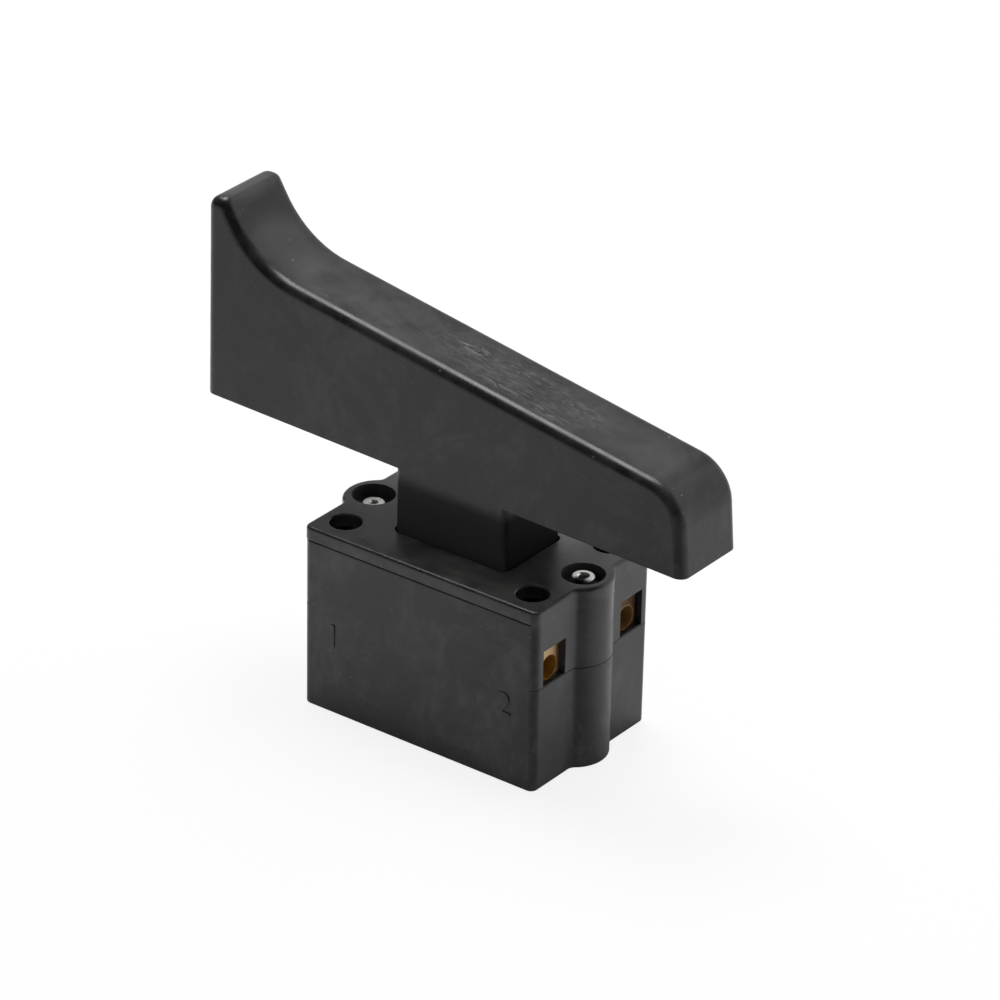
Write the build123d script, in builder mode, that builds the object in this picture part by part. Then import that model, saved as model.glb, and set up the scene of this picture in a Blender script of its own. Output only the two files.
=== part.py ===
from build123d import *
from math import cos, radians, sin, tan
import os

# A double-pole trigger switch for a hand-held power tool, in millimetres.
#
# The origin is the centre of the housing's bottom face. +X runs along the housing towards the
# low end of the trigger, -Y is the front long face, and +Z points up along the plunger's stroke.
# The two poles lie in front of and behind the plunger. Each has a terminal at either end of the
# housing, and a spring-loaded bridge that joins them when the trigger is pressed.

os.makedirs("parts", exist_ok=True)

# Housing, outside
housing_length = 37.9
housing_width = 24.7
case_height = 24.65
cover_plate = 1.85
lip_overhang = 0.1
corner_radius = 1.1
cover_end_height = 9.6
moulding_draft = 0.15
cover_edge_radius = 0.45
case_rim_chamfer = 0.3
parting_line = 0.12

# Housing, walls
long_wall = 1.45
end_wall = 0.85
case_floor = 1.8
rib_thickness = 0.85
hold_down_thickness = 0.65
hold_down_width = 3.5
hold_down_clearance = 0.05
guide_length = 4.0
guide_thickness = 1.0
guide_inset = 0.5
guide_depth = 3.2

# Rivets and their bosses
rivet_inset = 1.85
boss_inset = 2.75
boss_radius = 4.85
boss_blend = 1.2
post_radius = 3.9
counterbore_radius = 2.9
counterbore_depth = 1.8
rivet_radius = 1.3
rivet_clearance = 0.05
rivet_bore_radii = {"left": 0.4, "right": 0.65}
rivet_bore_depth = 7.0
rivet_rim_radius = 1.55
rivet_head_radius = 2.3
rivet_head_height = 0.9
rivet_rim_round = 0.22
rivet_rim_heights = {"left": 0.65, "right": 1.55}

# Trigger stroke and paddle
trigger_stroke = 6.0
trigger_width = 12.0
paddle_pitch = 1.25
paddle_gap = 9.0
paddle_reach_rear = 40.9
paddle_reach_front = 36.55
paddle_depth = 16.28
nose_height = 28.65
top_slope = 7.7
hook_slope = 57.0
hook_corner = 33.25
hook_radius = 14.0
nose_rear_radius = 1.65
nose_front_radius = 1.4
tip_lean = 5.8
rear_lean = 0.65
tip_radius = 6.2
paddle_edge_radius = 1.4
paddle_wall = 2.2
paddle_rib = 1.3
paddle_cells = 3
core_corner_radius = 0.55

# Plunger stem
stem_length = 18.0
stem_clearance = 0.3
stem_depth = 4.25
stem_edge_radius = 0.9
flange_gap = 0.3
flange_projection = 1.6
flange_width = 10.0
flange_height = 3.4

# Terminals
terminal_length = 5.6
terminal_width = 4.5
terminal_height = 7.0
terminal_clearance = 0.1
terminal_wall_gap = 0.35
wire_bore_radius = 1.65
wire_bore_height = 2.9
wire_bore_sill = 0.05
terminal_chamfer = 0.25
window_width = 4.7
window_height = 5.25
access_hole_radius = 2.15
access_hole_chamfer = 0.15

# Clamp screws
screw_radius = 1.45
screw_clearance = 0.05
screw_head_radius = 1.85
screw_head_height = 1.5
screw_slot_width = 0.6
screw_slot_depth = 0.7
screw_tip_gap = 0.25
screw_backed_out = 1.5
screw_tip_chamfer = 0.3
screw_head_chamfer = 0.2
screw_slot_angle = 35.0

# Contact strips and contacts
strip_thickness = 0.8
strip_width = 3.6
strip_clearance = 0.1
strip_rest = 0.5
strip_bend_radius = 0.9
strip_bottom = 6.7
contact_spacing = 12.8
strip_overrun = 1.7
contact_radius = 1.5
moving_contact_radius = 1.4
contact_height = 0.7
contact_edge_radius = 0.25
contact_gap = 3.3

# Bridges
bridge_width = 3.0
bridge_thickness = 0.9
bridge_overrun = 1.7
bridge_corner_radius = 0.75
bridge_stud_radius = 0.8
bridge_stud_height = 0.6

# Contact carrier
carrier_length = 6.6
carrier_beam_height = 2.6
carrier_clearance = 0.15
carrier_bar = 1.6
carrier_post = 0.6
carrier_key = 0.5
carrier_wall_gap = 0.45
window_side_gap = 0.2
bridge_seat_gap = 0.1
hub_radius = 4.5
hub_height = 5.5
hub_web = 3.0
pin_radius = 0.75
pin_clearance = 0.03
pin_length = 16.0
pin_chamfer = 0.2

# Springs
return_spring_radius = 3.5
return_wire = 0.8
return_turns = 6.0
spring_spigot_radius = 2.6
hub_spigot_height = 2.2
spigot_gap_pressed = 2.0
contact_spring_radius = 1.2
contact_wire = 0.35
contact_turns = 6.0
spring_seat_gap = 0.02

# Margins used in building: how far a cut runs past a face, and how near counts as the same place
overcut = 1.0
tolerance = 0.01

# Places that follow from the sizes above: the housing's faces
housing_height = case_height + cover_plate
half_length = housing_length / 2
half_width = housing_width / 2
inner_wall_x = half_length - end_wall
inner_wall_y = half_width - long_wall
end_parting_height = case_height - cover_end_height
rivet_x = half_length - rivet_inset
boss_x = half_length - boss_inset

# the terminals and their pockets
terminal_x = inner_wall_x - terminal_clearance - terminal_length / 2
terminal_y = inner_wall_y - terminal_wall_gap - terminal_width / 2
partition_face = terminal_y - terminal_width / 2 - terminal_clearance
pocket_inner_x = terminal_x - terminal_length / 2 - terminal_clearance
bay_half_length = pocket_inner_x - rib_thickness
wire_bore_z = end_parting_height + wire_bore_radius + wire_bore_sill
terminal_bottom = wire_bore_z - wire_bore_height
terminal_top = terminal_bottom + terminal_height
pocket_floor = terminal_bottom - strip_thickness

# the plunger's stem and the carrier that hangs from it
stem_bottom = case_height - stem_depth
stem_half_length = stem_length / 2
opening_half_length = stem_half_length + stem_clearance
opening_half_width = trigger_width / 2 + stem_clearance
pin_z = stem_bottom + carrier_beam_height / 2
hub_bottom = stem_bottom - hub_height
carrier_half_width = inner_wall_y - carrier_wall_gap
window_outer_y = carrier_half_width - carrier_post
pole_offset = window_outer_y - window_side_gap - bridge_width / 2
window_inner_y = pole_offset - bridge_width / 2 - window_side_gap
spigot_room = hub_bottom - case_floor - trigger_stroke - spigot_gap_pressed

# the contacts and bridges
contact_x = contact_spacing / 2
strip_top = strip_bottom + strip_thickness
moving_contact_bottom = strip_top + contact_height + contact_gap
bridge_bottom = moving_contact_bottom + contact_height
bridge_top = bridge_bottom + bridge_thickness
bridge_half_length = contact_x + bridge_overrun
carrier_bar_top = bridge_bottom - bridge_seat_gap
carrier_bottom = carrier_bar_top - carrier_bar

ends = {"left": -1, "right": 1}
poles = {"front": -1, "rear": 1}


def finish(builder, label):
    """Name a finished piece and write it as its own STEP file."""
    builder.part.label = label
    export_step(builder.part, f"parts/{label}.step")
    print(f"{label:28s} {builder.part.volume:9.2f} mm3")


def ring_centres(x, y):
    """The four places that mirror one another about the two upright middle planes."""
    return [(x, y), (x, -y), (-x, y), (-x, -y)]


# ---------------------------------------------------------------- housing outline
def housing_outline(height, width):
    """A rectangle with rounded corners and a rivet boss blended into the middle of each end."""
    with BuildSketch(Plane.XY.offset(height)) as outline:
        Rectangle(housing_length, width)
        fillet(outline.vertices(), corner_radius)
        with Locations((boss_x, 0), (-boss_x, 0)):
            Circle(boss_radius)
        junctions = outline.vertices().filter_by(
            lambda v: abs(abs(v.X) - half_length) < tolerance and abs(v.Y) < boss_radius
        )
        fillet(junctions, boss_blend)
    return outline.sketch


case_outline = housing_outline(case_height, housing_width)
cover_outline = housing_outline(case_height, housing_width + 2 * lip_overhang)
parting_outline = offset(housing_outline(end_parting_height, housing_width), amount=-parting_line)


# ---------------------------------------------------------------- lower case
# The long walls rise to the cover's lip. The ends stop at the parting line, where the cover's
# own end walls stand on them.
with BuildPart() as base_case:
    extrude(case_outline, amount=-case_height, taper=moulding_draft)
    case_rim = base_case.faces().sort_by(Axis.Z)[-1]
    chamfer(case_rim.outer_wire().edges(), case_rim_chamfer)
    fillet(base_case.faces().sort_by(Axis.Z)[0].outer_wire().edges(), case_rim_chamfer)
    # ends open above the parting line
    end_opening = boss_radius + end_wall + overcut
    with BuildSketch(Plane.XY.offset(end_parting_height)):
        for side in ends.values():
            with Locations((side * inner_wall_x, 0)):
                align = (Align.MIN if side > 0 else Align.MAX, Align.CENTER)
                Rectangle(end_opening, housing_width + overcut, align=align)
    extrude(amount=case_height, mode=Mode.SUBTRACT)
    # a fine rebate under the cover's end walls, which shows as the parting line
    with BuildSketch(Plane.XY.offset(end_parting_height)):
        Rectangle(housing_length + 2 * boss_radius, housing_width + overcut)
        add(parting_outline, mode=Mode.SUBTRACT)
        Rectangle(2 * inner_wall_x, housing_width + overcut, mode=Mode.SUBTRACT)
    extrude(amount=-parting_line, mode=Mode.SUBTRACT)
    # middle bay: full width above the contact shelves, cross-shaped below them
    with BuildSketch(Plane.XY.offset(strip_bottom)):
        Rectangle(2 * bay_half_length, 2 * inner_wall_y)
    extrude(amount=case_height, mode=Mode.SUBTRACT)
    shelf_end = contact_x - strip_overrun - strip_clearance
    with BuildSketch(Plane.XY.offset(case_floor)):
        Rectangle(2 * bay_half_length, 2 * partition_face)
        Rectangle(2 * shelf_end, 2 * inner_wall_y)
    extrude(amount=strip_bottom, mode=Mode.SUBTRACT)
    # terminal pockets, with a notch for the strip in the rib towards the middle bay
    pocket_length = inner_wall_x - pocket_inner_x
    pocket_width = inner_wall_y - partition_face
    pocket_x = (inner_wall_x + pocket_inner_x) / 2
    pocket_y = (inner_wall_y + partition_face) / 2
    with BuildSketch(Plane.XY.offset(pocket_floor)):
        with Locations(*ring_centres(pocket_x, pocket_y)):
            Rectangle(pocket_length, pocket_width)
        with Locations(*ring_centres(pocket_inner_x - rib_thickness / 2, terminal_y)):
            Rectangle(rib_thickness + overcut, strip_width + 2 * strip_clearance)
    extrude(amount=case_height, mode=Mode.SUBTRACT)
    # cores under the pockets keep the pedestals to a wall's thickness
    with BuildSketch(Plane.XY.offset(case_floor)):
        with Locations(*ring_centres(pocket_x, terminal_y)):
            Rectangle(pocket_length - 2 * rib_thickness, strip_width - 2 * strip_rest)
    extrude(amount=case_height, mode=Mode.SUBTRACT)
    # rivet bays: a boss on the floor that meets the cover's boss at the parting line
    rivet_bay_width = 2 * (partition_face - rib_thickness)
    with BuildSketch(Plane.XY.offset(case_floor)):
        with Locations((pocket_x, 0), (-pocket_x, 0)):
            Rectangle(pocket_length, rivet_bay_width)
        with Locations((rivet_x, 0), (-rivet_x, 0)):
            Circle(post_radius, mode=Mode.SUBTRACT)
    extrude(amount=case_height, mode=Mode.SUBTRACT)
    with BuildSketch(Plane.XY.offset(end_parting_height)):
        with Locations((pocket_x, 0), (-pocket_x, 0)):
            Rectangle(pocket_length, rivet_bay_width)
    extrude(amount=case_height, mode=Mode.SUBTRACT)
    with Locations(Location((0, 0, case_floor))):
        align = (Align.CENTER, Align.CENTER, Align.MIN)
        Cylinder(spring_spigot_radius, spigot_room - hub_spigot_height, align=align)
    # rivet holes, counterbored from below for the rivet heads
    for side in ends.values():
        with Locations(Plane.XY.rotated((180, 0, 0)) * Location((side * rivet_x, 0, 0))):
            CounterBoreHole(rivet_radius + rivet_clearance, counterbore_radius, counterbore_depth)
finish(base_case, "base_case")

# ---------------------------------------------------------------- top cover
# A plate that overhangs the case walls a little, with an end wall and a rivet boss at each end.
with BuildPart() as top_cover:
    extrude(case_outline, amount=-case_height, taper=moulding_draft)
    with BuildSketch():
        Rectangle(2 * inner_wall_x, housing_width + overcut)
        with Locations((rivet_x, 0), (-rivet_x, 0)):
            Circle(post_radius, mode=Mode.SUBTRACT)
    extrude(amount=case_height, mode=Mode.SUBTRACT)
    with BuildSketch():
        Rectangle(housing_length + 2 * boss_radius, housing_width + overcut)
    extrude(amount=end_parting_height, mode=Mode.SUBTRACT)
    extrude(cover_outline, amount=cover_plate)
    fillet(top_cover.faces().sort_by(Axis.Z)[-1].outer_wire().edges(), cover_edge_radius)
    # ribs under the plate: one over each terminal block, one beside each quarter of the plunger
    hold_down_x = pocket_inner_x + terminal_clearance + hold_down_thickness / 2
    with BuildSketch(Plane.XY.offset(terminal_top + hold_down_clearance)):
        with Locations(*ring_centres(hold_down_x, terminal_y)):
            Rectangle(hold_down_thickness, hold_down_width)
    extrude(until=Until.NEXT)
    guide_x = stem_half_length - guide_inset - guide_length / 2
    guide_y = opening_half_width + guide_thickness / 2
    with BuildSketch(Plane.XY.offset(case_height - guide_depth)):
        with Locations(*ring_centres(guide_x, guide_y)):
            Rectangle(guide_length, guide_thickness)
    extrude(until=Until.NEXT)
    # opening for the plunger
    with BuildSketch(Plane.XY.offset(case_height)) as opening:
        Rectangle(2 * opening_half_length, 2 * opening_half_width)
        fillet(opening.vertices(), stem_edge_radius + stem_clearance)
    extrude(amount=cover_plate, mode=Mode.SUBTRACT)
    # wire windows in the end walls, open down to the parting line
    with BuildSketch(Plane.XY.offset(end_parting_height)):
        with Locations(*ring_centres(half_length, terminal_y)):
            Rectangle(2 * end_wall + overcut, window_width)
    extrude(amount=window_height, mode=Mode.SUBTRACT)
    # screwdriver holes over the clamp screws, and the counterbored rivet holes
    with Locations(Plane.XY.offset(housing_height)):
        with Locations(*ring_centres(terminal_x, terminal_y)):
            CounterSinkHole(
                access_hole_radius,
                access_hole_radius + access_hole_chamfer,
                depth=cover_plate,
                counter_sink_angle=90,
            )
        with Locations((rivet_x, 0), (-rivet_x, 0)):
            CounterBoreHole(rivet_radius + rivet_clearance, counterbore_radius, counterbore_depth)
finish(top_cover, "top_cover")

# ---------------------------------------------------------------- terminals
# Each end of each pole has a brass block with a wire bore, a clamp screw above the bore, and a
# strip under the block that steps down to the contact shelf.
for end, along in ends.items():
    for pole, across in poles.items():
        block_x = along * terminal_x
        block_y = across * terminal_y
        with BuildPart() as terminal_block:
            with BuildSketch(Plane.XY.offset(terminal_bottom)):
                with Locations((block_x, block_y)):
                    Rectangle(terminal_length, terminal_width)
            extrude(amount=terminal_height)
            chamfer(terminal_block.edges().group_by(Axis.Z)[-1], terminal_chamfer)
            with BuildSketch(Plane.YZ.offset(block_x)):
                with Locations((block_y, wire_bore_z)):
                    Circle(wire_bore_radius)
            extrude(amount=terminal_length, both=True, mode=Mode.SUBTRACT)
            with BuildSketch(Plane.XY.offset(wire_bore_z)):
                with Locations((block_x, block_y)):
                    Circle(screw_radius + screw_clearance)
            extrude(amount=terminal_height, mode=Mode.SUBTRACT)
        finish(terminal_block, f"terminal_block_{pole}_{end}")

        screw_bottom = wire_bore_z + wire_bore_radius + screw_tip_gap
        head_bottom = terminal_top + screw_backed_out
        with BuildPart() as clamp_screw:
            with BuildSketch(Plane.XY.offset(screw_bottom)):
                with Locations((block_x, block_y)):
                    Circle(screw_radius)
            extrude(amount=head_bottom - screw_bottom)
            chamfer(clamp_screw.edges().group_by(Axis.Z)[0], screw_tip_chamfer)
            with BuildSketch(Plane.XY.offset(head_bottom)):
                with Locations((block_x, block_y)):
                    Circle(screw_head_radius)
            extrude(amount=screw_head_height)
            chamfer(clamp_screw.edges().group_by(Axis.Z)[-1], screw_head_chamfer)
            head_top = head_bottom + screw_head_height
            with BuildSketch(Plane.XY.offset(head_top)):
                with Locations(Location((block_x, block_y), screw_slot_angle * along * across)):
                    Rectangle(2 * screw_head_radius + overcut, screw_slot_width)
            extrude(amount=-screw_slot_depth, mode=Mode.SUBTRACT)
        finish(clamp_screw, f"clamp_screw_{pole}_{end}")

        strip_line_high = terminal_bottom - strip_thickness / 2
        strip_line_low = strip_bottom + strip_thickness / 2
        strip_drop_x = bay_half_length - strip_bend_radius
        with BuildPart() as contact_strip:
            with BuildSketch(Plane.XZ.offset(-block_y)):
                with BuildLine():
                    FilletPolyline(
                        (along * (terminal_x + terminal_length / 2), strip_line_high),
                        (along * strip_drop_x, strip_line_high),
                        (along * strip_drop_x, strip_line_low),
                        (along * (contact_x - strip_overrun), strip_line_low),
                        radius=strip_bend_radius,
                    )
                trace(line_width=strip_thickness)
            extrude(amount=strip_width / 2, both=True)
        finish(contact_strip, f"contact_strip_{pole}_{end}")

        with BuildPart() as fixed_contact:
            with BuildSketch(Plane.XY.offset(strip_top)):
                with Locations((along * contact_x, across * pole_offset)):
                    Circle(contact_radius)
            extrude(amount=contact_height)
            fillet(fixed_contact.edges().group_by(Axis.Z)[-1], contact_edge_radius)
        finish(fixed_contact, f"fixed_contact_{pole}_{end}")

        with BuildPart() as moving_contact:
            with BuildSketch(Plane.XY.offset(moving_contact_bottom)):
                with Locations((along * contact_x, across * pole_offset)):
                    Circle(moving_contact_radius)
            extrude(amount=contact_height)
            fillet(moving_contact.edges().group_by(Axis.Z)[0], contact_edge_radius)
        finish(moving_contact, f"moving_contact_{pole}_{end}")

# ---------------------------------------------------------------- rivets
# Tubular rivets, headed below and rolled over above. One is set deeper and rolled in further.
for end, along in ends.items():
    bore = rivet_bore_radii[end]
    rim_top = housing_height - counterbore_depth + rivet_rim_heights[end]
    rim_bottom = housing_height - counterbore_depth
    head_top = counterbore_depth
    head_bottom = head_top - rivet_head_height
    head_flat = rivet_head_radius - rivet_head_height
    with BuildPart() as rivet:
        with BuildSketch(Plane.XZ):
            with BuildLine():
                Line((0, head_bottom), (head_flat, head_bottom))
                RadiusArc((head_flat, head_bottom), (rivet_head_radius, head_top), -rivet_head_height)
                Polyline(
                    (rivet_head_radius, head_top),
                    (rivet_radius, head_top),
                    (rivet_radius, rim_bottom),
                    (rivet_rim_radius, rim_bottom),
                    (rivet_rim_radius, rim_top - rivet_rim_round),
                )
                RadiusArc(
                    (rivet_rim_radius, rim_top - rivet_rim_round),
                    (rivet_rim_radius - rivet_rim_round, rim_top),
                    -rivet_rim_round,
                )
                Polyline(
                    (rivet_rim_radius - rivet_rim_round, rim_top),
                    (bore + rivet_rim_round, rim_top),
                    (bore, rim_top - rivet_rim_round),
                    (bore, rim_top - rivet_bore_depth),
                    (0, rim_top - rivet_bore_depth - bore / 2),
                    (0, head_top - rivet_head_height),
                )
            make_face()
        revolve(axis=Axis.Z)
    rivet.part.position = (along * rivet_x, 0, 0)
    finish(rivet, f"rivet_{end}")

# ---------------------------------------------------------------- bridges and their springs
# The bridge of each pole hangs in the carrier's window, pressed down by a small coil spring.
for pole, across in poles.items():
    pole_y = across * pole_offset
    with BuildPart() as bridge:
        with BuildSketch(Plane.XY.offset(bridge_bottom)):
            with Locations((0, pole_y)):
                Rectangle(2 * bridge_half_length, bridge_width)
        extrude(amount=bridge_thickness)
        fillet(bridge.edges().filter_by(Axis.Z), bridge_corner_radius)
        with BuildSketch(Plane.XY.offset(bridge_top)):
            with Locations((0, pole_y)):
                Circle(bridge_stud_radius)
        extrude(amount=bridge_stud_height)
    finish(bridge, f"bridge_{pole}")

    spring_bottom = bridge_top + spring_seat_gap + contact_wire / 2
    spring_rise = stem_bottom - spring_seat_gap - contact_wire / 2 - spring_bottom
    with BuildPart() as contact_spring:
        with BuildLine() as contact_coil:
            Helix(spring_rise / contact_turns, spring_rise, contact_spring_radius)
        with BuildSketch(Plane(contact_coil.line @ 0, z_dir=contact_coil.line % 0)):
            Circle(contact_wire / 2)
        sweep(is_frenet=True)
    contact_spring.part.position = (0, pole_y, spring_bottom)
    finish(contact_spring, f"contact_spring_{pole}")

# ---------------------------------------------------------------- contact carrier
# A beam through the plunger's foot carries a window for each bridge and a hub for the spring.
frame_inner_y = partition_face - carrier_key
with BuildPart() as contact_carrier:
    with BuildSketch(Plane.XY.offset(stem_bottom)):
        Rectangle(carrier_length, 2 * carrier_half_width)
    extrude(amount=carrier_beam_height)
    with BuildSketch(Plane.XY.offset(carrier_bottom)):
        for across in poles.values():
            with Locations((0, across * (carrier_half_width + frame_inner_y) / 2)):
                Rectangle(carrier_length, carrier_half_width - frame_inner_y)
    extrude(amount=stem_bottom - carrier_bottom)
    with BuildSketch(Plane.XY.offset(carrier_bar_top)):
        with Locations((0, pole_offset), (0, -pole_offset)):
            Rectangle(carrier_length + overcut, window_outer_y - window_inner_y)
    extrude(amount=stem_bottom - carrier_bar_top, mode=Mode.SUBTRACT)
    with BuildSketch(Plane.XY.offset(hub_bottom)):
        Circle(hub_radius)
        Rectangle(hub_web, 2 * partition_face)
    extrude(amount=hub_height)
    with BuildSketch(Plane.XY.offset(hub_bottom)):
        Circle(spring_spigot_radius)
    extrude(amount=-hub_spigot_height)
    with BuildSketch(Plane.YZ):
        with Locations((0, pin_z)):
            Circle(pin_radius + pin_clearance)
    extrude(amount=carrier_length, both=True, mode=Mode.SUBTRACT)
finish(contact_carrier, "contact_carrier")

with BuildPart() as carrier_pin:
    with BuildSketch(Plane.YZ):
        with Locations((0, pin_z)):
            Circle(pin_radius)
    extrude(amount=pin_length / 2, both=True)
    chamfer(carrier_pin.edges().filter_by(GeomType.CIRCLE), pin_chamfer)
finish(carrier_pin, "carrier_pin")

# ---------------------------------------------------------------- return spring
coil_bottom = case_floor + spring_seat_gap + return_wire / 2
coil_rise = hub_bottom - spring_seat_gap - return_wire / 2 - coil_bottom
with BuildPart() as return_spring:
    with BuildLine() as return_coil:
        Helix(coil_rise / return_turns, coil_rise, return_spring_radius)
    with BuildSketch(Plane(return_coil.line @ 0, z_dir=return_coil.line % 0)):
        Circle(return_wire / 2)
    sweep(is_frenet=True)
return_spring.part.position = (0, 0, coil_bottom)
finish(return_spring, "return_spring")

# ---------------------------------------------------------------- trigger
# Paddle and plunger are one moulding. The paddle's side outline is drawn in a plane pitched
# about the housing's top, with a hooked nose at the rear, a shallow slope and a round tip.
pitch = radians(paddle_pitch)
paddle_plane = Plane(
    origin=(0, 0, housing_height), x_dir=(cos(pitch), 0, -sin(pitch)), z_dir=(0, -1, 0)
)


def paddle_corners(inset):
    """Corners of the paddle's side outline, moved inwards by an even wall."""
    slope = radians(top_slope)
    hook = radians(hook_slope)
    lean = radians(tip_lean)
    bottom = paddle_gap
    rear_run = tan(radians(rear_lean))
    rear = -paddle_reach_rear + inset
    top_at_stem = paddle_gap + paddle_depth - inset / cos(slope)
    hook_x = -hook_corner
    hook_z = paddle_gap + paddle_depth + hook_corner * tan(slope) - inset / cos(hook)
    tip_x = paddle_reach_front - inset / cos(lean)
    nose_z = paddle_gap + nose_height - inset
    rear_top = rear - (nose_z - bottom) * rear_run
    nose_x = hook_x - (nose_z - hook_z) / tan(hook)
    corner_x = (top_at_stem - hook_z - hook_x * tan(hook)) / (tan(slope) - tan(hook))
    front_x = (tip_x - (top_at_stem - bottom) * tan(lean)) / (1 - tan(slope) * tan(lean))
    corners = [(rear, bottom)]
    if nose_x > rear_top:
        corners += [(rear_top, nose_z), (nose_x, nose_z)]
    else:
        corners += [(rear, hook_z - (rear - hook_x) * tan(hook))]
    corners += [
        (corner_x, top_at_stem - corner_x * tan(slope)),
        (front_x, top_at_stem - front_x * tan(slope)),
        (tip_x, bottom),
    ]
    return corners


with BuildPart() as trigger:
    with BuildSketch(paddle_plane):
        with BuildLine():
            FilletPolyline(
                *paddle_corners(0),
                radius=[nose_rear_radius, nose_front_radius, hook_radius, tip_radius],
            )
            Line(paddle_corners(0)[-1], paddle_corners(0)[0])
        make_face()
    extrude(amount=trigger_width / 2, both=True)
    top_edges = (
        trigger.edges()
        .filter_by(lambda e: abs(abs(e.center().Y) - trigger_width / 2) < tolerance)
        .filter_by(lambda e: paddle_plane.to_local_coords(e.center()).Y > paddle_gap + tolerance)
    )
    fillet(top_edges, paddle_edge_radius)
    # cells in the underside leave an even wall, with ribs across
    with BuildSketch(paddle_plane):
        core = paddle_corners(paddle_wall)
        core[0] = (core[0][0], 0)
        core[-1] = (core[-1][0], 0)
        with BuildLine():
            core_radii = [core_corner_radius, hook_radius - paddle_wall, tip_radius - paddle_wall]
            FilletPolyline(*core, radius=core_radii)
            Line(core[-1], core[0])
        make_face()
        solid_reach = stem_half_length + paddle_wall
        Rectangle(2 * solid_reach, 4 * nose_height, mode=Mode.SUBTRACT)
        for start, end in ((core[0][0], -solid_reach), (solid_reach, core[-1][0])):
            for cell in range(1, paddle_cells):
                with Locations((start + cell * (end - start) / paddle_cells, 0)):
                    Rectangle(paddle_rib, 4 * nose_height, mode=Mode.SUBTRACT)
    extrude(amount=trigger_width / 2 - paddle_wall, both=True, mode=Mode.SUBTRACT)
    # plunger stem with a stop flange at each end, under the cover plate
    with BuildSketch(Plane.XY.offset(stem_bottom)) as stem_outline:
        Rectangle(stem_length, trigger_width)
        fillet(stem_outline.vertices(), stem_edge_radius)
    extrude(amount=housing_height + paddle_gap + paddle_wall - stem_bottom)
    with BuildSketch(Plane.XY.offset(case_height - flange_gap)):
        Rectangle(stem_length + 2 * flange_projection, flange_width)
    extrude(amount=-flange_height)
    # slot across the stem's foot for the carrier's beam, and the hole for its pin
    with BuildSketch(Plane.XY.offset(stem_bottom)):
        Rectangle(carrier_length + 2 * carrier_clearance, trigger_width + overcut)
    extrude(amount=carrier_beam_height + carrier_clearance, mode=Mode.SUBTRACT)
    with BuildSketch(Plane.YZ):
        with Locations((0, pin_z)):
            Circle(pin_radius + pin_clearance)
    extrude(amount=pin_length / 2, both=True, mode=Mode.SUBTRACT)
finish(trigger, "trigger")
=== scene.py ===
from math import cos, pi, radians, sin

import bpy
from mathutils import Matrix, Vector


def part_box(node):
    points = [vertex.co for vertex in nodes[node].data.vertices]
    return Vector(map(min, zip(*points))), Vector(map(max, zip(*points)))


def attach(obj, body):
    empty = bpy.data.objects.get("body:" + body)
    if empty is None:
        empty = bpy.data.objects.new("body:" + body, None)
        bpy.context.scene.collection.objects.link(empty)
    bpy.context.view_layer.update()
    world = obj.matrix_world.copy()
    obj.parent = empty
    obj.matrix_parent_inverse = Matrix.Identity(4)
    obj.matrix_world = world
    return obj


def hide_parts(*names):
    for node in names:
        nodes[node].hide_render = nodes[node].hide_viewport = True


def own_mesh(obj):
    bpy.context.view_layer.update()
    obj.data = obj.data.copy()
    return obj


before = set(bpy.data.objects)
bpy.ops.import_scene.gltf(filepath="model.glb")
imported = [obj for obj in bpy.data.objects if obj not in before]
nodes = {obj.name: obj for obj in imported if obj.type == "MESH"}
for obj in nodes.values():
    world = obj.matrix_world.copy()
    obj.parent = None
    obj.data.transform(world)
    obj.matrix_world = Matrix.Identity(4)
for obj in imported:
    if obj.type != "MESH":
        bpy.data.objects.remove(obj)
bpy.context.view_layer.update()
bpy.ops.object.select_all(action="DESELECT")

# ------------------------------------------------------------------ floor, lamps and camera
# The switch stands on a pale table under a large softbox, with two weaker panels behind it. The
# table and the room are white to the camera, so only a soft shadow shows under the switch.
scene = bpy.context.scene
scene.view_settings.view_transform = "Standard"


def start_material(name):
    """A new material, with its node tree emptied down to the output."""
    material = bpy.data.materials.new(name)
    material.use_nodes = True
    tree = material.node_tree
    tree.nodes.clear()
    output = tree.nodes.new("ShaderNodeOutputMaterial")
    return material, tree, output


def place(tree, kind, inputs=None, **settings):
    """Add a node; inputs may be plain values or the sockets that feed them."""
    node = tree.nodes.new(kind)
    for key, value in settings.items():
        setattr(node, key, value)
    for key, value in (inputs or {}).items():
        if isinstance(value, bpy.types.NodeSocket):
            tree.links.new(value, node.inputs[key])
        else:
            node.inputs[key].default_value = value
    return node


def combine(tree, operation, *terms):
    """The result of one sum on values or sockets."""
    return place(tree, "ShaderNodeMath", dict(enumerate(terms)), operation=operation).outputs[0]


def ramp(tree, value, low, high, to_low=0.0, to_high=1.0):
    """A smooth step from to_low, where value is low, to to_high, where it is high."""
    node = place(
        tree,
        "ShaderNodeMapRange",
        {"Value": value, "From Min": low, "From Max": high, "To Min": to_low, "To Max": to_high},
        interpolation_type="SMOOTHSTEP",
    )
    return node.outputs[0]


def blend_colours(tree, factor, first, second):
    """A colour between two others, each given as three numbers or as a socket."""
    node = place(tree, "ShaderNodeMix", {"Factor": factor}, data_type="RGBA")
    for key, colour in ((6, first), (7, second)):
        if isinstance(colour, bpy.types.NodeSocket):
            tree.links.new(colour, node.inputs[key])
        else:
            node.inputs[key].default_value = (*colour, 1)
    return node.outputs[2]


def object_place(tree, centre=(0, 0, 0), stretch=(1, 1, 1)):
    """Places on the piece, centred on a point and stretched, for a pattern to read."""
    here = tree.nodes.new("ShaderNodeTexCoord").outputs["Object"]
    moved = place(tree, "ShaderNodeMapping", {"Vector": here})
    moved.inputs["Scale"].default_value = stretch
    moved.inputs["Location"].default_value = [-c * s for c, s in zip(centre, stretch)]
    return moved.outputs[0]


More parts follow.
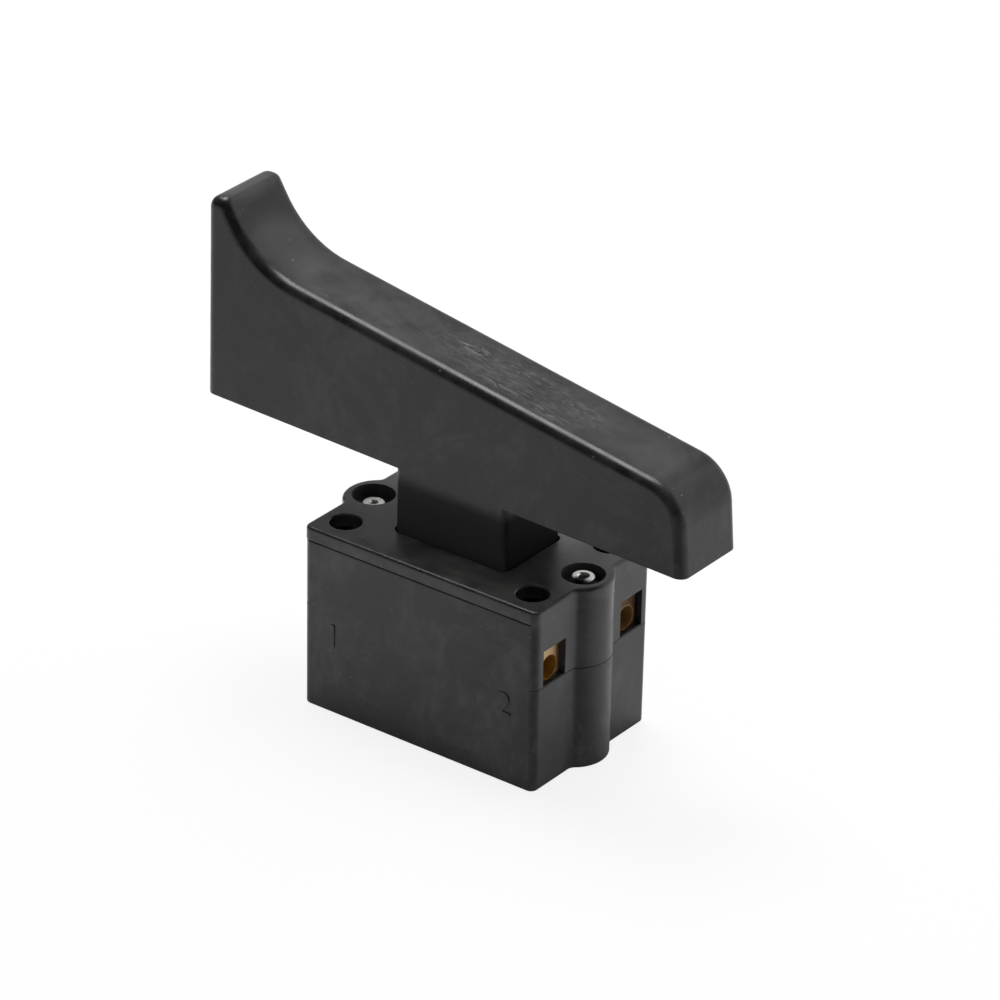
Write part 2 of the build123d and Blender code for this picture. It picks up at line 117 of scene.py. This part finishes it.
def distance_from(tree, centre=(0, 0, 0), stretch=(1, 1, 1)):
    """How far each place on the piece is from a point, after the stretch."""
    here = object_place(tree, centre, stretch)
    return place(tree, "ShaderNodeVectorMath", {0: here}, operation="LENGTH").outputs["Value"]


floor_size = 3.0
floor_drop = 0.0001
floor_grey = 0.90
white_to_camera = 0.85
white_to_gloss = 0.10
shadow_reach = 0.12
all_white_from = floor_size / 5
bpy.ops.mesh.primitive_plane_add(size=floor_size, location=(0, 0, -floor_drop))
floor = bpy.context.object
floor.name = "table_top"
material, tree, output = start_material("pale_table")
rays = place(tree, "ShaderNodeLightPath").outputs
from_middle = distance_from(tree)
seen = combine(tree, "MAXIMUM", rays["Is Camera Ray"], rays["Is Transmission Ray"])
whiteness = ramp(tree, from_middle, shadow_reach, all_white_from, white_to_camera, 1.0)
seen = combine(tree, "MULTIPLY", seen, whiteness)

# painted shade on the table: on the side towards the camera, where the room has no panel, the
# table's colour is darkened for glossy rays only, so the switch's polish mirrors a dimmer table
open_side = radians(36.6)
open_side_loss = 0.64
open_from, open_in_full = 0.56, 0.98
dim_from, dim_in_full = 0.018, 0.036
outward = place(tree, "ShaderNodeVectorMath", {0: object_place(tree)}, operation="NORMALIZE")
ahead = place(
    tree,
    "ShaderNodeVectorMath",
    {0: outward.outputs[0], 1: (sin(open_side), -cos(open_side), 0)},
    operation="DOT_PRODUCT",
)
dim = ramp(tree, ahead.outputs["Value"], open_from, open_in_full, 0.0, open_side_loss)
dim = combine(tree, "MULTIPLY", dim, ramp(tree, from_middle, dim_from, dim_in_full))
dim = combine(tree, "MULTIPLY", dim, rays["Is Glossy Ray"])
table_colour = blend_colours(tree, dim, (floor_grey,) * 3, (0, 0, 0))
lit = place(tree, "ShaderNodeBsdfDiffuse", {"Color": table_colour})
white = place(tree, "ShaderNodeEmission", {"Color": (1, 1, 1, 1), "Strength": 1.0})
share = combine(tree, "MULTIPLY_ADD", rays["Is Glossy Ray"], white_to_gloss, seen)
shade = place(
    tree, "ShaderNodeMixShader", {"Fac": share, 1: lit.outputs[0], 2: white.outputs[0]}
)
tree.links.new(shade.outputs[0], output.inputs["Surface"])
floor.data.materials.append(material)

room_glow = 0.32
room_in_gloss = 0.10
world = bpy.data.worlds.new("studio")
scene.world = world
world.use_nodes = True
tree = world.node_tree
tree.nodes.clear()
rays = place(tree, "ShaderNodeLightPath").outputs
level = ramp(tree, rays["Is Glossy Ray"], 0.0, 1.0, room_glow, room_in_gloss)
level = combine(tree, "MAXIMUM", level, rays["Is Camera Ray"])
sky = place(tree, "ShaderNodeBackground", {"Color": (1, 1, 1, 1), "Strength": level})
ground = place(tree, "ShaderNodeOutputWorld")
tree.links.new(sky.outputs[0], ground.inputs["Surface"])

aim_height = 0.03


def hang_softbox(name, toward, distance, width, height, radiance):
    """A white panel that faces the switch from the direction given, hidden from the camera."""
    lamp = bpy.data.lights.new(name, "AREA")
    lamp.shape = "RECTANGLE"
    lamp.size = width
    lamp.size_y = height
    lamp.energy = radiance * pi * width * height
    box = bpy.data.objects.new(name, lamp)
    scene.collection.objects.link(box)
    direction = Vector(toward).normalized()
    box.location = Vector((0, 0, aim_height)) + direction * distance
    box.rotation_euler = direction.to_track_quat("Z", "Y").to_euler()
    box.visible_camera = False


hang_softbox(
    "overhead_softbox",
    toward=(-0.30, 0.20, 0.93),
    distance=0.80,
    width=0.46,
    height=0.40,
    radiance=9.0,
)
hang_softbox(
    "rear_panel",
    toward=(-0.40, 0.80, 0.40),
    distance=1.10,
    width=1.80,
    height=1.15,
    radiance=0.50,
)
hang_softbox(
    "side_panel",
    toward=(0.70, 0.70, 0.36),
    distance=1.10,
    width=1.40,
    height=1.10,
    radiance=0.95,
)

# the lens is long, as for a small product, and leans by a degree
camera_azimuth = radians(36.621)
camera_elevation = radians(28.164)
camera_roll = radians(1.229)
camera_distance = 0.79068
camera_sensor = 36
camera_lens = 216
aim_right = 0.003440
aim_up = 0.027692
back = Vector(
    (
        sin(camera_azimuth) * cos(camera_elevation),
        -cos(camera_azimuth) * cos(camera_elevation),
        sin(camera_elevation),
    )
)
level_right = Vector((cos(camera_azimuth), sin(camera_azimuth), 0))
level_up = back.cross(level_right)
right = level_right * cos(camera_roll) + level_up * sin(camera_roll)
up = level_up * cos(camera_roll) - level_right * sin(camera_roll)
camera_data = bpy.data.cameras.new("product_camera")
camera_data.sensor_width = camera_sensor
camera_data.lens = camera_lens
camera = bpy.data.objects.new("product_camera", camera_data)
scene.collection.objects.link(camera)
stand = right * aim_right + up * aim_up + back * camera_distance
camera.matrix_world = Matrix.Translation(stand) @ Matrix((right, up, back)).transposed().to_4x4()
scene.camera = camera

# ------------------------------------------------------------------ moulded housing
# The lower case and the cover that is riveted over it are pressed from a black thermoset. The
# tool leaves a fine grain, the resin flows in faint clouds, and handling rubs the edges pale.


def start_group(name, inputs, outputs):
    """A new shader node group with the named sockets; returns its tree and its two ends."""
    group = bpy.data.node_groups.new(name, "ShaderNodeTree")
    for socket, value in inputs.items():
        made = group.interface.new_socket(socket, in_out="INPUT", socket_type="NodeSocketFloat")
        made.default_value = value
    for socket, kind in outputs.items():
        group.interface.new_socket(socket, in_out="OUTPUT", socket_type=kind)
    return group, group.nodes.new("NodeGroupInput"), group.nodes.new("NodeGroupOutput")


def noise(tree, here, scale, detail, roughness=0.5, distortion=0.0):
    """Cloudy noise between 0 and 1."""
    node = place(
        tree,
        "ShaderNodeTexNoise",
        {
            "Vector": here,
            "Scale": scale,
            "Detail": detail,
            "Roughness": roughness,
            "Distortion": distortion,
        },
    )
    return node.outputs["Fac"]


def facing_up(tree, low, high, least=0.0):
    """How far a face looks up: least where its normal rises by low, and 1 where by high."""
    normal = tree.nodes.new("ShaderNodeNewGeometry").outputs["Normal"]
    rise = place(tree, "ShaderNodeSeparateXYZ", {"Vector": normal}).outputs["Z"]
    return ramp(tree, rise, low, high, least, 1.0)


# the grain and the clouds of a moulded skin
skin_group, enter, leave = start_group(
    "moulded_skin",
    {"Grain": 7000.0, "Clouds": 180.0},
    {"Height": "NodeSocketFloat", "Clouds": "NodeSocketFloat"},
)
here = object_place(skin_group)
grain = noise(skin_group, here, enter.outputs["Grain"], detail=2.0, roughness=0.6)
clouds = noise(skin_group, here, enter.outputs["Clouds"], detail=6.0, roughness=0.70)
skin_group.links.new(grain, leave.inputs["Height"])
skin_group.links.new(ramp(skin_group, clouds, 0.34, 0.66), leave.inputs["Clouds"])

# edges that catch the light, rubbed here and there
edge_group, enter, leave = start_group(
    "rubbed_edges",
    {"Radius": 0.0002, "Breakup": 900.0},
    {"Normal": "NodeSocketVector", "Rub": "NodeSocketFloat"},
)
rounded = place(edge_group, "ShaderNodeBevel", {"Radius": enter.outputs["Radius"]}, samples=6)
facing = edge_group.nodes.new("ShaderNodeNewGeometry")
agree = place(
    edge_group,
    "ShaderNodeVectorMath",
    {0: rounded.outputs[0], 1: facing.outputs["Normal"]},
    operation="DOT_PRODUCT",
)
turned = ramp(edge_group, agree.outputs["Value"], 0.97, 0.76)
worn = noise(edge_group, object_place(edge_group), enter.outputs["Breakup"], detail=3.0)
patchy = ramp(edge_group, worn, 0.40, 0.62, 0.15, 1.0)
edge_group.links.new(rounded.outputs[0], leave.inputs["Normal"])
edge_group.links.new(combine(edge_group, "MULTIPLY", turned, patchy), leave.inputs["Rub"])

# specks of dust, most of them on the faces that look up
speck_least = 0.04
speck_spread = 0.08
dust_group, enter, leave = start_group(
    "settled_dust", {"Specks": 900.0, "Share": 0.12}, {"Mask": "NodeSocketFloat"}
)
cells = place(
    dust_group,
    "ShaderNodeTexVoronoi",
    {"Vector": object_place(dust_group), "Scale": enter.outputs["Specks"]},
)
drawn = place(dust_group, "ShaderNodeSeparateColor", {"Color": cells.outputs["Color"]})
chosen = combine(dust_group, "LESS_THAN", drawn.outputs["Red"], enter.outputs["Share"])
width = combine(dust_group, "MULTIPLY_ADD", drawn.outputs["Green"], speck_spread, speck_least)
speck = combine(dust_group, "LESS_THAN", cells.outputs["Distance"], width)
speck = combine(dust_group, "MULTIPLY", chosen, speck)
lying = facing_up(dust_group, -0.2, 0.9, least=0.25)
dust_group.links.new(combine(dust_group, "MULTIPLY", speck, lying), leave.inputs["Mask"])

# a film of fine dust, wiped into smears
film_group, enter, leave = start_group(
    "handled_film", {"Patches": 260.0, "Least": 0.4}, {"Mask": "NodeSocketFloat"}
)
smears = noise(
    film_group,
    object_place(film_group, stretch=(0.6, 1, 1)),
    enter.outputs["Patches"],
    detail=5.0,
    roughness=0.68,
    distortion=0.6,
)
smeared = ramp(film_group, smears, 0.36, 0.64, enter.outputs["Least"], 1.0)
lying = facing_up(film_group, 0.5, 0.98)
film_group.links.new(combine(film_group, "MULTIPLY", lying, smeared), leave.inputs["Mask"])

# broad stains with finer streaks in them
stain_group, enter, leave = start_group(
    "faint_stains", {"Patches": 110.0, "Streaks": 700.0}, {"Mask": "NodeSocketFloat"}
)
patches = noise(
    stain_group,
    object_place(stain_group),
    enter.outputs["Patches"],
    detail=7.0,
    roughness=0.72,
    distortion=0.8,
)
fine = noise(
    stain_group,
    object_place(stain_group, stretch=(1, 1, 0.45)),
    enter.outputs["Streaks"],
    detail=3.0,
)
broad = ramp(stain_group, patches, 0.44, 0.66)
close = ramp(stain_group, fine, 0.30, 0.70, 0.35, 1.0)
stain_group.links.new(combine(stain_group, "MULTIPLY", broad, close), leave.inputs["Mask"])

dust_colour = (0.16, 0.155, 0.145)
rub_share = 0.35
rub_brighter = 5
gloss_spread = 0.10
grain_height = 0.00002


def mould_plastic(name, dark, pale, gloss, relief, edge, shine):
    """Black plastic: clouds between two greys, a grained surface, worn edges and dust."""
    material, tree, output = start_material(name)
    skin = place(tree, "ShaderNodeGroup", node_tree=skin_group)
    rim = place(tree, "ShaderNodeGroup", {"Radius": edge}, node_tree=edge_group)
    dust = place(tree, "ShaderNodeGroup", node_tree=dust_group)
    colour = blend_colours(tree, skin.outputs["Clouds"], dark, pale)
    rub = combine(tree, "MULTIPLY", rim.outputs["Rub"], rub_share)
    colour = blend_colours(tree, rub, colour, [rub_brighter * c for c in pale])
    colour = blend_colours(tree, dust.outputs["Mask"], colour, dust_colour)
    rough = ramp(tree, skin.outputs["Clouds"], 0.0, 1.0, gloss, gloss + gloss_spread)
    bump = place(
        tree,
        "ShaderNodeBump",
        {
            "Strength": relief,
            "Distance": grain_height,
            "Height": skin.outputs["Height"],
            "Normal": rim.outputs["Normal"],
        },
    )
    shell = place(
        tree,
        "ShaderNodeBsdfPrincipled",
        {
            "Base Color": colour,
            "Roughness": rough,
            "Specular IOR Level": shine,
            "Normal": bump.outputs[0],
        },
    )
    tree.links.new(shell.outputs[0], output.inputs["Surface"])
    return material, shell


def lay_over(shell, mask, colour, rough):
    """Cover a finish with another colour and roughness, as far as the mask says."""
    tree = shell.id_data
    beneath = shell.inputs["Base Color"].links[0].from_socket
    tree.links.new(blend_colours(tree, mask, beneath, colour), shell.inputs["Base Color"])
    beneath = shell.inputs["Roughness"].links[0].from_socket
    node = place(tree, "ShaderNodeMix", {"Factor": mask, 2: beneath, 3: rough}, data_type="FLOAT")
    tree.links.new(node.outputs[0], shell.inputs["Roughness"])


def lay_pattern(shell, group, share, rough, inputs=None):
    """Cover a finish with dust where a group's mask says, times a share."""
    tree = shell.id_data
    mask = place(tree, "ShaderNodeGroup", inputs, node_tree=group).outputs["Mask"]
    lay_over(shell, combine(tree, "MULTIPLY", mask, share), dust_colour, rough)


def soft_spot(tree, centre, reach, strength):
    """A soft-edged spot on the piece, reaching as long, wide and high as reach says."""
    away = distance_from(tree, centre, [1 / side for side in reach])
    return ramp(tree, away, 1.0, 0.35, 0.0, strength)


def dress(material, *names):
    """Give a material to pieces that the frame already holds."""
    for name in names:
        for slot in nodes[name].material_slots:
            slot.material = material


housing_dark = (0.005, 0.005, 0.006)
housing_pale = (0.015, 0.015, 0.016)
case_plastic, case_shell = mould_plastic(
    "case_thermoset",
    housing_dark,
    housing_pale,
    gloss=0.36,
    relief=0.25,
    edge=0.00022,
    shine=0.50,
)
cover_plastic, cover_shell = mould_plastic(
    "cover_thermoset",
    housing_dark,
    housing_pale,
    gloss=0.27,
    relief=0.10,
    edge=0.00018,
    shine=0.49,
)
for shell, film_share, film_rough, stain_share in (
    (case_shell, 0.12, 0.6, 0.20),
    (cover_shell, 0.28, 0.5, 0.15),
):
    tree = shell.id_data
    lay_pattern(shell, stain_group, stain_share, rough=0.55)
    # the film is left out in a soft spot on the top, behind the plunger near the right rivet, so
    # the surface is darker there
    film_left_out = soft_spot(
        tree, centre=(0.0170, 0.0060, 0.0265), reach=(0.0072, 0.0058, 0.0040), strength=0.80
    )
    kept_film = combine(tree, "MULTIPLY", combine(tree, "SUBTRACT", 1.0, film_left_out), film_share)
    lay_pattern(shell, film_group, kept_film, film_rough)

# fine brown dirt has settled in the seam under the cover's lip, and on the lip itself
seam_z = 0.02465
dirt_above = 0.0016
dirt_below = 0.0012
dirt_most = 0.16
tree = cover_shell.id_data
height = place(tree, "ShaderNodeSeparateXYZ", {"Vector": object_place(tree)}).outputs["Z"]
near = combine(
    tree,
    "MULTIPLY",
    ramp(tree, height, seam_z + dirt_above, seam_z),
    ramp(tree, height, seam_z - dirt_below, seam_z),
)
dirt = noise(tree, object_place(tree), 420.0, detail=4.0)
caked = ramp(tree, dirt, 0.40, 0.64, 0.0, dirt_most)
lay_over(cover_shell, combine(tree, "MULTIPLY", near, caked), (0.20, 0.17, 0.13), rough=0.7)

# dull dust has gathered in the counterbores, around the rivets
rivet_x = 0.0171
counterbore_radius = 0.0029
counterbore_rim = 0.0001
counterbore_dust = 0.7
for side in (-1, 1):
    away = distance_from(tree, (side * rivet_x, 0, 0), (1, 1, 0))
    within = ramp(
        tree, away, counterbore_radius + counterbore_rim, counterbore_radius, 0.0, counterbore_dust
    )
    lay_over(cover_shell, within, (0.052, 0.046, 0.043), rough=0.8)
dress(case_plastic, "base_case")
dress(cover_plastic, "top_cover")

# ------------------------------------------------------------------ terminal numbers
# Each terminal has its number raised on the long wall beside it, moulded with the case in one
# shot. The tool's engraving is shallow, so the figures stand a tenth of a millimetre proud.
number_height = 0.0034
type_over_height = 1.38
number_sunk = 0.00004
number_proud = 0.00010
number_round = 0.00003
number_along = 0.0140
number_z = 0.0115
wall_face = 0.01232
weld_gap = 0.000005
number_places = {"1": (-1, -1), "2": (1, -1), "3": (1, 1), "4": (-1, 1)}
for number, (end, side) in number_places.items():
    bpy.ops.object.text_add(location=(0, 0, 0))
    figure = bpy.context.object
    figure.data.body = number
    figure.data.align_x = "CENTER"
    figure.data.align_y = "CENTER"
    figure.data.size = type_over_height * number_height
    figure.data.extrude = (number_sunk + number_proud) / 2
    figure.data.bevel_depth = number_round
    figure.data.bevel_resolution = 1
    figure.data.resolution_u = 6
    bpy.ops.object.convert(target="MESH")
    figure = bpy.context.object
    figure.name = f"terminal_number_{number}"
    bpy.ops.object.mode_set(mode="EDIT")
    bpy.ops.mesh.select_all(action="SELECT")
    bpy.ops.mesh.remove_doubles(threshold=weld_gap)
    bpy.ops.mesh.normals_make_consistent(inside=False)
    bpy.ops.object.mode_set(mode="OBJECT")
    middle = side * (wall_face + (number_proud - number_sunk) / 2)
    turn = Matrix.Rotation(0 if side < 0 else pi, 4, "Z") @ Matrix.Rotation(pi / 2, 4, "X")
    figure.data.transform(Matrix.Translation((end * number_along, middle, number_z)) @ turn)
    figure.data.materials.clear()
    figure.data.materials.append(case_plastic)
    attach(figure, "housing")
    bpy.ops.object.select_all(action="DESELECT")

# ------------------------------------------------------------------ terminals
# Each brass block is cut from drawn bar and bored for the wire. Its skin keeps the fine lines of
# the cut and has gone brown in patches, most of all inside the bore.
metal_edge = 0.00008
line_gloss_spread = 0.16
line_relief = 0.25
line_height = 0.00001


def turn_metal(name, bright, dull, gloss, lines, tarnish):
    """Metal with fine tool lines along X, and dull patches where it has tarnished."""
    material, tree, output = start_material(name)
    skin = place(tree, "ShaderNodeGroup", {"Clouds": tarnish}, node_tree=skin_group)
    rim = place(tree, "ShaderNodeGroup", {"Radius": metal_edge}, node_tree=edge_group)
    streaks = noise(tree, object_place(tree, stretch=(0.06, 1, 1)), lines, detail=3.0)
    colour = blend_colours(tree, skin.outputs["Clouds"], bright, dull)
    rough = ramp(tree, streaks, 0.3, 0.7, gloss, gloss + line_gloss_spread)
    bump = place(
        tree,
        "ShaderNodeBump",
        {
            "Strength": line_relief,
            "Distance": line_height,
            "Height": streaks,
            "Normal": rim.outputs["Normal"],
        },
    )
    shell = place(
        tree,
        "ShaderNodeBsdfPrincipled",
        {"Base Color": colour, "Metallic": 1.0, "Roughness": rough, "Normal": bump.outputs[0]},
    )
    tree.links.new(shell.outputs[0], output.inputs["Surface"])
    return material, shell


wire_bore_y = 0.0083
wire_bore_z = 0.01675
wire_bore_radius = 0.00168
bore_fade = 0.00012


def oxidise_bore(shell, colour):
    """The drilled wire bore is oxidised to a duller, warmer yellow than the block's faces."""
    tree = shell.id_data
    bores = [
        distance_from(tree, (0, side * wire_bore_y, wire_bore_z), (0, 1, 1)) for side in (-1, 1)
    ]
    nearest = combine(tree, "MINIMUM", *bores)
    inside = ramp(tree, nearest, wire_bore_radius + bore_fade, wire_bore_radius)
    lay_over(shell, inside, colour, rough=0.24)
    tree.links.new(ramp(tree, inside, 0.0, 1.0, 1.0, 0.2), shell.inputs["Metallic"])


corners = [f"{pole}_{end}" for pole in ("front", "rear") for end in ("left", "right")]
brass, brass_shell = turn_metal(
    "terminal_brass",
    (0.42, 0.30, 0.17),
    (0.36, 0.22, 0.10),
    gloss=0.30,
    lines=9000.0,
    tarnish=260.0,
)
oxidise_bore(brass_shell, (0.34, 0.155, 0.022))
dress(brass, *[f"terminal_block_{corner}" for corner in corners])

# one block is a darker, browner brass all over
darker_brass, darker_brass_shell = turn_metal(
    "darker_browner_brass",
    (0.15, 0.09, 0.045),
    (0.09, 0.05, 0.03),
    gloss=0.45,
    lines=9000.0,
    tarnish=260.0,
)
oxidise_bore(darker_brass_shell, (0.26, 0.135, 0.045))
dress(darker_brass, "terminal_block_rear_right")

# ------------------------------------------------------------------ clamp screws
# Steel screws, zinc plated, wait backed out over the wire bores, with their slots at an angle.
# They are reached through the holes in the cover.
zinc, _ = turn_metal(
    "zinc_plate",
    (0.62, 0.62, 0.60),
    (0.42, 0.42, 0.40),
    gloss=0.30,
    lines=8000.0,
    tarnish=300.0,
)
dress(zinc, *[f"clamp_screw_{corner}" for corner in corners])

# ------------------------------------------------------------------ strips, bridges and contacts
# The strips and bridges are stamped from rolled copper alloy. Silver discs are riveted to them
# where they meet, a little pitted by the arc.
copper, _ = turn_metal(
    "rolled_copper",
    (0.74, 0.42, 0.24),
    (0.46, 0.22, 0.11),
    gloss=0.30,
    lines=7000.0,
    tarnish=220.0,
)
dress(copper, *[f"contact_strip_{corner}" for corner in corners])
dress(copper, "bridge_front", "bridge_rear")
silver, _ = turn_metal(
    "contact_silver",
    (0.86, 0.85, 0.82),
    (0.55, 0.54, 0.50),
    gloss=0.34,
    lines=5000.0,
    tarnish=900.0,
)
dress(silver, *[f"fixed_contact_{corner}" for corner in corners])
dress(silver, *[f"moving_contact_{corner}" for corner in corners])

# ------------------------------------------------------------------ contact carrier and its pin
# The carrier is moulded in natural, unfilled plastic, and hangs under the plunger. A plain steel
# pin, zinc plated like the screws, holds it there.
natural, _ = mould_plastic(
    "natural_plastic",
    (0.50, 0.48, 0.42),
    (0.58, 0.56, 0.50),
    gloss=0.42,
    relief=0.20,
    edge=0.00015,
    shine=0.5,
)
dress(natural, "contact_carrier")
dress(zinc, "carrier_pin")

# ------------------------------------------------------------------ springs
# Both kinds of spring are wound from hard drawn wire, with a thin brown film from its heating. The
# return spring stands on the case's floor, and each contact spring sits between plunger and bridge.
spring_wire, _ = turn_metal(
    "spring_wire",
    (0.52, 0.51, 0.49),
    (0.36, 0.33, 0.29),
    gloss=0.28,
    lines=9000.0,
    tarnish=500.0,
)
wire_sides = 14
steps_per_turn = 36
smooth_below = radians(40)


def wind_spring(node, wire, turns, body):
    """Wind a coil in the space of a CAD node."""
    low, high = (Vector(corner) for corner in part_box(node))
    coil_radius = (high.x - low.x - wire) / 2
    rise = high.z - low.z - wire
    bpy.ops.mesh.primitive_circle_add(
        vertices=wire_sides,
        radius=wire / 2,
        location=(coil_radius, 0, 0),
        rotation=(pi / 2, 0, 0),
    )
    bpy.ops.object.transform_apply(location=True, rotation=True, scale=True)
    coil = bpy.context.object
    coil.name = f"wound_{node}"
    winding = coil.modifiers.new("winding", "SCREW")
    winding.axis = "Z"
    winding.iterations = turns
    winding.screw_offset = rise / turns
    winding.steps = winding.render_steps = steps_per_turn
    bpy.ops.object.modifier_apply(modifier=winding.name)
    bpy.ops.object.mode_set(mode="EDIT")
    bpy.ops.mesh.select_all(action="SELECT")
    bpy.ops.mesh.fill_holes(sides=0)
    bpy.ops.mesh.normals_make_consistent(inside=False)
    bpy.ops.object.mode_set(mode="OBJECT")
    bpy.ops.object.shade_smooth_by_angle(angle=smooth_below)
    middle = (low + high) / 2
    coil.data.transform(Matrix.Translation((middle.x, middle.y, low.z + wire / 2)))
    coil.data.materials.clear()
    coil.data.materials.append(spring_wire)
    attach(coil, body)
    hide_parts(node)
    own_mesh(coil)
    bpy.ops.object.select_all(action="DESELECT")


wind_spring(
    "return_spring",
    wire=0.0008,
    turns=6,
    body="housing",
)
for pole in ("front", "rear"):
    wind_spring(
        f"contact_spring_{pole}",
        wire=0.00035,
        turns=6,
        body="trigger",
    )

# ------------------------------------------------------------------ rivets
# Tubular rivets of bright tinned steel run through the end bosses, and their ends are rolled over
# in the cover's counterbores. The front of one rim is painted dark, a painted shade.
tinned, tinned_shell = turn_metal(
    "tinned_steel",
    (0.92, 0.92, 0.91),
    (0.80, 0.79, 0.77),
    gloss=0.30,
    lines=6000.0,
    tarnish=500.0,
)
# painted shade on the front of the right rivet's rim
rivet_rim_painted_shade = soft_spot(
    tinned_shell.id_data,
    centre=(rivet_x + 0.0003, -0.0012, 0.0263),
    reach=(0.0013, 0.0012, 0.0014),
    strength=1.0,
)
lay_over(tinned_shell, rivet_rim_painted_shade, (0.022, 0.020, 0.018), rough=0.6)
dress(tinned, "rivet_left", "rivet_right")

# ------------------------------------------------------------------ trigger
# The trigger and its plunger are one moulding in satin black. The finger has rubbed the middle
# of its top face pale, and the flanks keep faint stains and a little lint.
trigger_dark = (0.004, 0.004, 0.005)
trigger_shine = 0.39
trigger_plastic, trigger_shell = mould_plastic(
    "trigger_plastic",
    trigger_dark,
    (0.012, 0.012, 0.013),
    gloss=0.26,
    relief=0.20,
    edge=0.00015,
    shine=trigger_shine,
)
lay_pattern(trigger_shell, stain_group, 0.14, rough=0.5, inputs={"Patches": 80.0})
lay_pattern(trigger_shell, film_group, 0.10, rough=0.5, inputs={"Patches": 150.0, "Least": 0.2})

# long brushed scuffs where the finger slides, and the deeper ones within them; each place has its
# centre, its reach and its strength
rub_places = [
    ((0.006, 0.0, 0.0508), (0.022, 0.0055, 0.008), 0.30),
    ((-0.0016, 0.0013, 0.0520), (0.0042, 0.0016, 0.004), 0.75),
    ((0.0061, -0.0031, 0.0507), (0.0060, 0.0010, 0.004), 0.55),
    ((0.0069, 0.0019, 0.0506), (0.0055, 0.0014, 0.004), 0.55),
    ((0.0129, -0.0034, 0.0497), (0.0050, 0.0013, 0.004), 0.70),
    ((0.0163, 0.0007, 0.0491), (0.0040, 0.0018, 0.004), 0.60),
]
# a painted highlight along the rounding of the hook's nose, and soft pale spots in the hollow of
# the hook and towards the tip
pale_spots_and_painted_highlight = [
    ((-0.0315, 0.0, 0.0580), (0.0075, 0.0062, 0.0070), 0.20),
    ((-0.0390, 0.0, 0.0648), (0.0036, 0.0066, 0.0026), 0.26),
    ((0.0240, 0.0, 0.0480), (0.0130, 0.0058, 0.0060), 0.10),
]
pale_wear_and_painted_highlight = (0.15, 0.152, 0.160)


def strongest_of(tree, places):
    """The highest of several soft spots, at each point."""
    found = 0.0
    for centre, reach, strength in places:
        found = combine(tree, "MAXIMUM", found, soft_spot(tree, centre, reach, strength))
    return found


tree = trigger_shell.id_data
streaks = noise(
    tree,
    object_place(tree, stretch=(0.24, 1, 0.4)),
    1500.0,
    detail=5.0,
    roughness=0.72,
    distortion=1.5,
)
brushed = ramp(tree, streaks, 0.45, 0.62)
rubbed = combine(tree, "MULTIPLY", brushed, strongest_of(tree, rub_places))
lay_over(trigger_shell, rubbed, pale_wear_and_painted_highlight, rough=0.46)
# the painted highlight on the nose, with the pale spots beside it
lay_over(trigger_shell, strongest_of(tree, pale_spots_and_painted_highlight), pale_wear_and_painted_highlight, rough=0.50)

# where the plunger slides through the cover it is painted dark as a painted shade, and paler low on
# its flanks as a painted light; it is dull there and dullest at its end; along, across and height
# run to 1 at the edges of that sleeve
sleeve_middle = (0, 0, 0.0265)
sleeve_reach = (0.0096, 0.0066, 0.0085)
sleeve_place = object_place(tree, sleeve_middle, [1 / side for side in sleeve_reach])
sleeve = place(tree, "ShaderNodeSeparateXYZ", {"Vector": sleeve_place}).outputs
along = combine(tree, "ABSOLUTE", sleeve["X"])
across = combine(tree, "ABSOLUTE", sleeve["Y"])
within = combine(tree, "LESS_THAN", combine(tree, "MAXIMUM", along, across), 1.0)
within = combine(tree, "MULTIPLY", within, ramp(tree, sleeve["Z"], 1.05, 0.75))
low_on_flank = combine(
    tree, "MULTIPLY", ramp(tree, sleeve["Z"], 0.6, -0.3), ramp(tree, across, 0.80, 0.88)
)
# painted shade on the sleeve, with painted light low on its flanks
sleeve_painted_shade_and_light = blend_colours(tree, low_on_flank, trigger_dark, (0.042, 0.041, 0.042))
lay_over(trigger_shell, within, sleeve_painted_shade_and_light, rough=0.70)
end_shine = 0.17
at_end = combine(tree, "MULTIPLY", within, ramp(tree, sleeve["X"], 0.88, 0.93))
end_dulled = ramp(tree, at_end, 0.0, 1.0, trigger_shine, end_shine)
tree.links.new(end_dulled, trigger_shell.inputs["Specular IOR Level"])
dress(trigger_plastic, "trigger")
